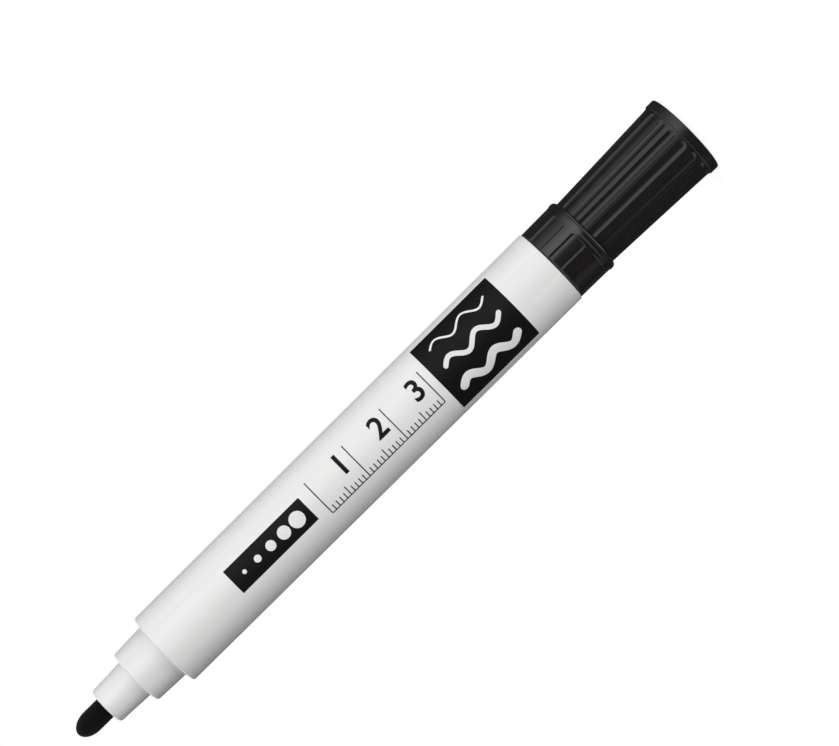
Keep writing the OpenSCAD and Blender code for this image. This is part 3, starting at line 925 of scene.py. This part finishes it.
def liner_rows(s):
    """Rows from the middle of the closed end over the outside to the mouth, then in to the inner floor."""
    outer_r = s.nib_room_r + s.wall
    z_floor = Z_LINER + s.floor
    return round_rows([
        (0.0, Z_LINER),
        (outer_r - s.foot_r, Z_LINER),
        (outer_r, Z_LINER + s.foot_h),
        (outer_r, s.bore_z - s.step_h),
        (s.sleeve_r, s.bore_z),
        (s.sleeve_r, Z_LINER_TOP - s.rim_h),
        (LINER_SEAT_R, Z_LINER_TOP - s.rim_h),
        (LINER_SEAT_R, Z_LINER_TOP),
        (s.mouth_r + s.lead_r, Z_LINER_TOP),
        (s.mouth_r, Z_LINER_TOP - s.lead_h),
        (s.bead_r, s.bead_z + s.bead_half),
        (s.bead_r, s.bead_z - s.bead_half),
        (s.bore_r, s.bead_z - 2 * s.bead_half),
        (s.bore_r, s.bore_z + s.seat_up),
        (s.nib_room_r, s.bore_z - s.seat_down),
        (s.nib_room_r, z_floor + s.room_edge),
        (s.nib_room_r - s.room_edge, z_floor),
        (0.0, z_floor),
    ])


class MARKER_OT_inner_cap(bpy.types.Operator):
    """Build the inner cap that seals on the nose"""

    bl_idname = "marker.inner_cap"
    bl_label = "Inner Cap"

    def execute(self, context):
        settings = context.scene.marker
        finish = natural_polyethylene(settings.colours.liner)
        piece = turned_piece(context, "inner_cap_moulding", liner_rows(settings.liner), 4, 32, finish)
        put_on(piece, "cap", "inner_cap", "inner_cap")
        return {"FINISHED"}


# ---------------------------------------------------------------- ink reservoir

class MARKER_OT_reservoir(bpy.types.Operator):
    """Finish the fibre reservoir and its film, which keep their CAD shapes"""

    bl_idname = "marker.reservoir"
    bl_label = "Ink Reservoir"

    def execute(self, context):
        colours = context.scene.marker.colours
        dress = {"reservoir_core": inked_fibre(colours.reservoir), "reservoir_wrap": clear_film(colours.film)}
        for node, finish in dress.items():
            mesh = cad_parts[node].data
            mesh.materials.clear()
            mesh.materials.append(finish)
        return {"FINISHED"}


# ---------------------------------------------------------------- print

def rounded_box(low_u, low_v, high_u, high_v, corner):
    """Outline of a box with round corners, in the print's flat layout."""
    out = []
    for u, v, start in (
        (high_u - corner, high_v - corner, 0), (low_u + corner, high_v - corner, 90),
        (low_u + corner, low_v + corner, 180), (high_u - corner, low_v + corner, 270),
    ):
        out += arc(u, v, corner, start, start + 90, 6)
    return out


def disc(u, v, radius):
    """Outline of a dot."""
    return arc(u, v, radius, 0, 360, 48)[:-1]


def stroke(path, width):
    """Outlines that make a pen stroke of one width along a path, with round ends."""
    sides = []
    for i, (u, v) in enumerate(path):
        (u0, v0), (u1, v1) = path[max(i - 1, 0)], path[min(i + 1, len(path) - 1)]
        reach = math.hypot(u1 - u0, v1 - v0)
        out_u, out_v = (v0 - v1) / reach * width / 2, (u1 - u0) / reach * width / 2
        sides.append(((u - out_u, v - out_v), (u + out_u, v + out_v)))
    pieces = [[a[0], b[0], b[1], a[1]] for a, b in zip(sides, sides[1:])]
    for (u, v), (low, high), back in ((path[0], sides[0], 1), (path[-1], sides[-1], -1)):
        start = math.degrees(math.atan2((high[1] - low[1]) * back, (high[0] - low[0]) * back))
        pieces.append(arc(u, v, width / 2, start, start + 180, 12))
    return pieces


def flat_faces(mesh, u, v, scale=1.0):
    """A flat mesh's faces as outlines, scaled and then moved by u and v."""
    return [[(u + mesh.vertices[i].co.x * scale, v + mesh.vertices[i].co.y * scale) for i in face.vertices]
            for face in mesh.polygons]


def digit_outlines(context, text, height, u, v):
    """Faces of a plain number, centred on u and standing on v."""
    curve = bpy.data.curves.new("number", "FONT")
    curve.body = text
    curve.align_x = "CENTER"
    curve.size = 1.0
    # Makes the numbers a little bolder
    curve.offset = 0.018
    shown = linked(context, "number", curve)
    mesh = bpy.data.meshes.new_from_object(shown.evaluated_get(context.evaluated_depsgraph_get()))
    scale = height / max(p.co.y for p in mesh.vertices)
    middle = (max(p.co.x for p in mesh.vertices) + min(p.co.x for p in mesh.vertices)) / 2
    faces = flat_faces(mesh, u - middle * scale, v, scale)
    bpy.data.objects.remove(shown)
    bpy.data.curves.remove(curve)
    bpy.data.meshes.remove(mesh)
    return faces


def mark_outlines(context, s, finish):
    """Faces of the scale's marks, from the scale tree."""
    holder = linked(context, "scale marks", bpy.data.meshes.new("scale marks"))
    run_tree(context, holder, scale_tree(), {
        "Marks": s.marks, "Pitch": 1 * MM, "Line": s.line, "Short": s.mark_short,
        "Middle": s.mark_middle, "Long": s.mark_long, "Finish": finish})
    faces = flat_faces(holder.data, s.scale_start, s.scale_base)
    bpy.data.objects.remove(holder)
    return faces


def ink_film(context, name, faces, layer, finish):
    """Lays flat faces on the barrel as a closed film of ink; the first layer lies on the plastic."""
    settings = context.scene.marker
    thick = settings.ink.ink
    # The film's foot is sunk this many layers, so that it meets the curved plastic everywhere
    sunk = 1.5
    work = bmesh.new()
    for outline in faces:
        work.faces.new([work.verts.new((u, v, 0.0)) for u, v in outline])
    bmesh.ops.remove_doubles(work, verts=work.verts, dist=WELD)
    # Strips this wide follow the barrel's curve to within a few micrometres
    strip = 0.4 * MM
    low = min(v.co.y for v in work.verts)
    high = max(v.co.y for v in work.verts)
    for i in range(1, int((high - low) / strip) + 1):
        bmesh.ops.bisect_plane(work, geom=work.verts[:] + work.edges[:] + work.faces[:],
                               dist=WELD / 10, plane_co=(0, low + i * strip, 0), plane_no=(0, 1, 0))
    grown = bmesh.ops.extrude_face_region(work, geom=work.faces[:])
    top = {v for v in grown["geom"] if isinstance(v, bmesh.types.BMVert)}
    z_front = Z_NOSE - settings.barrel.step_2_h - settings.barrel.step_1_h
    for vert in work.verts:
        u, v, _ = vert.co
        z = z_front - u
        r = cone_r(z, Z_RIM, REAR_R, z_front, settings.barrel.front_r)
        turn = v / r - math.pi / 2
        out = r + (layer if vert in top else layer - sunk) * thick
        vert.co = (out * math.cos(turn), out * math.sin(turn), z)
    bmesh.ops.recalc_face_normals(work, faces=work.faces)
    put_on(dressed_object(context, name, work, finish), "marker", "barrel")


def wave(start, end, v, height, length_of_wave):
    """Points of an even wave along the barrel."""
    return [(u, v + height * math.sin(TURN * (u - start) / length_of_wave))
            for u in steps_between(start, end, 96)]


class MARKER_OT_print(bpy.types.Operator):
    """Print the barrel: a bar with dots, a millimetre scale and a block with pen strokes"""

    bl_idname = "marker.print"
    bl_label = "Print"

    def execute(self, context):
        s = context.scene.marker.ink
        colours = context.scene.marker.colours
        black = screen_ink("black screen ink", colours.black_ink, 0.22)
        white = screen_ink("white screen ink", colours.white_ink, 0.2)
        bar = rounded_box(s.bar_start, s.bar_low, s.bar_start + s.bar_length, s.bar_high, s.corner)
        ink_film(context, "print_bar", [bar], 1, black)
        middle = (s.bar_low + s.bar_high) / 2
        dots = [disc(s.bar_start + s.dot_start + s.dot_pitch * i, middle, s.dot_r + s.dot_growth * i)
                for i in range(s.dot_count)]
        ink_film(context, "print_bar_dots", dots, 2, white)

        marks = mark_outlines(context, s, black)
        scale_end = s.scale_start + (s.marks - 1) * MM
        marks.append([(s.scale_start, s.scale_base), (scale_end, s.scale_base),
                      (scale_end, s.scale_base - s.line), (s.scale_start, s.scale_base - s.line)])
        ink_film(context, "print_scale", marks, 1, black)
        numbers = []
        for i in range(1, 4):
            u = s.scale_start + 10 * i * MM - s.digit_back
            numbers += digit_outlines(context, str(i), s.digit_h, u, s.digit_base)
        ink_film(context, "print_numbers", numbers, 1, black)

        block_end = s.block_start + s.block_length
        block = rounded_box(s.block_start, s.block_low, block_end, s.block_high, s.corner)
        ink_film(context, "print_block", [block], 1, black)
        # Where each stroke lies across the block, and its width, both in millimetres
        for i, (v, width) in enumerate(((5.2, 0.45), (0.6, 1.0), (-4.8, 1.8))):
            path = wave(s.block_start + s.stroke_gap, block_end - s.stroke_gap, v * MM,
                        s.wave_height, s.wave_length)
            ink_film(context, f"print_stroke_{i + 1}", stroke(path, width * MM), 2, white)
        return {"FINISHED"}


# ---------------------------------------------------------------- studio

def seen_directly(tree):
    """1 for what the camera sees straight, in gloss or through glass, and 0 for all other light."""
    path = add(tree, "ShaderNodeLightPath").outputs
    seen = path["Is Camera Ray"]
    for ray in ("Is Glossy Ray", "Is Transmission Ray"):
        seen = add(tree, "ShaderNodeMath", {0: seen, 1: path[ray]}, operation="MAXIMUM").outputs[0]
    return seen


def softbox(context, name, turn, rise, radiance, width, height):
    """A flat softbox that faces the marker. Its turn is counted from the camera, less than 0 to the left."""
    lamp = bpy.data.lights.new(name, "AREA")
    lamp.shape = "RECTANGLE"
    lamp.size, lamp.size_y = width, height
    lamp.energy = radiance * math.pi * width * height
    thing = linked(context, name, lamp)
    a, e = math.radians(turn), math.radians(rise)
    toward = Vector((-math.sin(a) * math.cos(e), -math.cos(a) * math.cos(e), math.sin(e)))
    thing.location = toward * LAMP_DISTANCE + Vector((0, 0, LAMP_CENTRE))
    thing.rotation_euler = toward.to_track_quat("Z", "Y").to_euler()
    thing.visible_camera = False
    return thing


class MARKER_OT_studio(bpy.types.Operator):
    """Set up the floor, the softboxes, the white room and the camera"""

    bl_idname = "marker.studio"
    bl_label = "Studio"

    def execute(self, context):
        s = context.scene.marker.studio
        context.scene.view_settings.view_transform = "Standard"
        self.room(context.scene, s)
        self.floor(context, s)
        self.drapes(context, s)
        strip = 2 * LAMP_DISTANCE * math.tan(math.radians(KEY_STRIP) / 2)
        for i, level in enumerate(KEY_LEVELS):
            turn = -KEY_EDGE - KEY_STRIP * (i + 0.5)
            softbox(context, f"key_{i + 1}", turn, 0, s.key * level, strip, KEY_HEIGHT)
        softbox(context, "fill", FILL_TURN, 0, s.fill, *FILL_SIZE)
        for name, turn, rise, level in (
            ("top", -7, 50, s.top), ("low", -7, -50, s.low), ("rear", 180, 50, s.rear),
        ):
            softbox(context, name, turn, rise, level, 1.0, 1.0).visible_glossy = False
        self.camera(context, s)
        return {"FINISHED"}

    def room(self, scene, s):
        world = bpy.data.worlds.new("white room")
        world.use_nodes = True
        tree = world.node_tree
        tree.nodes.clear()
        room_light = (s.ambient, s.ambient, s.ambient, 1.0)
        dim = add(tree, "ShaderNodeBackground", {"Color": room_light, "Strength": 1.0})
        white = add(tree, "ShaderNodeBackground", {"Color": (1.0, 1.0, 1.0, 1.0), "Strength": 1.0})
        both = add(tree, "ShaderNodeMixShader", {
            0: seen_directly(tree), 1: dim.outputs[0], 2: white.outputs[0]})
        add(tree, "ShaderNodeOutputWorld", {"Surface": both.outputs[0]})
        scene.world = world

    def floor(self, context, s):
        """A pale floor. It takes the marker's shadow and is clean white where none falls."""
        work = bmesh.new()
        bmesh.ops.create_circle(work, cap_ends=True, radius=FLOOR_RADIUS, segments=96)
        material, tree = blank_material("white table top")
        top = add(tree, "ShaderNodeBsdfDiffuse", {"Color": (FLOOR_WHITE, FLOOR_WHITE, FLOOR_WHITE, 1.0)})
        cleaned = add(tree, "ShaderNodeMath", {0: seen_directly(tree), 1: s.clean}, operation="MULTIPLY")
        white = add(tree, "ShaderNodeEmission", {
            "Color": (1.0, 1.0, 1.0, 1.0), "Strength": cleaned.outputs[0]})
        both = add(tree, "ShaderNodeAddShader", {0: top.outputs[0], 1: white.outputs[0]})
        add(tree, "ShaderNodeOutputMaterial", {"Surface": both.outputs[0]})
        floor = dressed_object(context, "floor", work, material)
        floor.visible_glossy = False
        floor.visible_shadow = False

    def drapes(self, context, s):
        """Dark drapes right round the marker, seen only by gloss, so that black plastic stays black."""
        work = bmesh.new()
        bmesh.ops.create_cone(work, segments=72, radius1=DRAPE_RADIUS, radius2=DRAPE_RADIUS,
                              depth=DRAPE_HIGH - DRAPE_LOW)
        bmesh.ops.translate(work, verts=work.verts, vec=(0.0, 0.0, (DRAPE_LOW + DRAPE_HIGH) / 2))
        material, tree = blank_material("dark drape")
        dark = add(tree, "ShaderNodeEmission", {"Color": (s.drape, s.drape, s.drape, 1.0), "Strength": 1.0})
        add(tree, "ShaderNodeOutputMaterial", {"Surface": dark.outputs[0]})
        drapes = dressed_object(context, "drapes", work, material)
        drapes.visible_camera = False
        drapes.visible_diffuse = False
        drapes.visible_shadow = False

    def camera(self, context, s):
        lens = bpy.data.cameras.new("camera")
        lens.lens = s.lens
        lens.sensor_width = 36.0
        lens.clip_start = 10 * MM
        eye = linked(context, "camera", lens)
        place = Vector((0.0, -s.distance, s.eye_z))
        forward = (Vector((s.aim_x, 0.0, s.aim_z)) - place).normalized()
        cos, sin = math.cos(s.roll), math.sin(s.roll)
        right, up = Vector((sin, 0.0, cos)), Vector((-cos, 0.0, sin))
        tilt = Vector((0.0, 1.0, 0.0)).rotation_difference(forward)
        right.rotate(tilt)
        up.rotate(tilt)
        eye.matrix_world = Matrix.Translation(place) @ Matrix((right, up, -forward)).transposed().to_4x4()
        context.scene.camera = eye


# ---------------------------------------------------------------- add-on

OPERATORS = (
    MARKER_OT_barrel,
    MARKER_OT_nib,
    MARKER_OT_reservoir,
    MARKER_OT_tail_plug,
    MARKER_OT_cap_shell,
    MARKER_OT_inner_cap,
    MARKER_OT_print,
    MARKER_OT_studio,
)


class MARKER_PT_sidebar(bpy.types.Panel):
    """Lists the marker's pieces and their settings"""

    bl_label = "Whiteboard Marker"
    bl_idname = "MARKER_PT_sidebar"
    bl_space_type = "VIEW_3D"
    bl_region_type = "UI"
    bl_category = "Marker"

    def draw(self, context):
        for operator in OPERATORS:
            self.layout.operator(operator.bl_idname)
        settings = context.scene.marker
        for group in settings.bl_rna.properties:
            if group.type == "POINTER" and group.identifier != "rna_type":
                box = self.layout.box()
                box.label(text=group.identifier.title())
                values = getattr(settings, group.identifier)
                for value in values.bl_rna.properties:
                    if not value.is_readonly:
                        box.prop(values, value.identifier)


CLASSES = (
    BarrelSizes, PlugSizes, CapSizes, LinerSizes, NibSizes, PrintSizes, Colours, StudioSettings,
    MarkerSettings, *OPERATORS, MARKER_PT_sidebar,
)


def register():
    for cls in CLASSES:
        bpy.utils.register_class(cls)
    bpy.types.Scene.marker = PointerProperty(type=MarkerSettings)


def unregister():
    del bpy.types.Scene.marker
    for cls in reversed(CLASSES):
        bpy.utils.unregister_class(cls)


def main():
    register()
    for operator in OPERATORS:
        family, name = operator.bl_idname.split(".")
        getattr(getattr(bpy.ops, family), name)()


if __name__ == "__main__":
    main()
